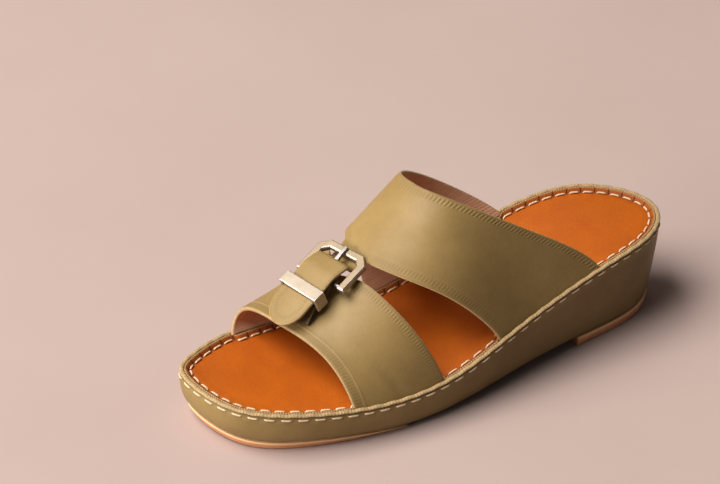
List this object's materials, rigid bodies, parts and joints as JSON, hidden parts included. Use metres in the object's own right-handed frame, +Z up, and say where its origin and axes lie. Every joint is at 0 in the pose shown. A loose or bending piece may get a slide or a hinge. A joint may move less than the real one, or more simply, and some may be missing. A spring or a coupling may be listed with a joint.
{
  "type": "arabic sandal",
  "caption": "Left leather slide sandal: a wide toe strap, an instep strap whose tab is buckled over it, a padded footbed and a low wrapped wedge sole with a heel lift.",
  "frame": {"origin": "middle of the footprint's bounding box, on the floor under the sole", "axes": "+Z up, -Y toward the toe, +X toward the outer side of the left foot"},
  "size_m": [0.1002, 0.2852, 0.1085],
  "materials": {
    "leather": "smooth olive tan leather, satin",
    "insole_leather": "matte orange tan lining leather",
    "rubber": "matte tan rubber",
    "metal": "satin pale gold plating"
  },
  "bodies": {
    "root": {"outsole_forefoot": "rubber", "heel_lift": "rubber", "wedge_midsole": "leather", "insole": "insole_leather", "toe_strap": "leather", "instep_strap": "leather", "buckle_frame": "metal", "buckle_hinge_bar": "metal", "buckle_prong": "metal", "buckle_chape": "leather", "buckle_keeper": "metal"}
  },
  "joints": []
}
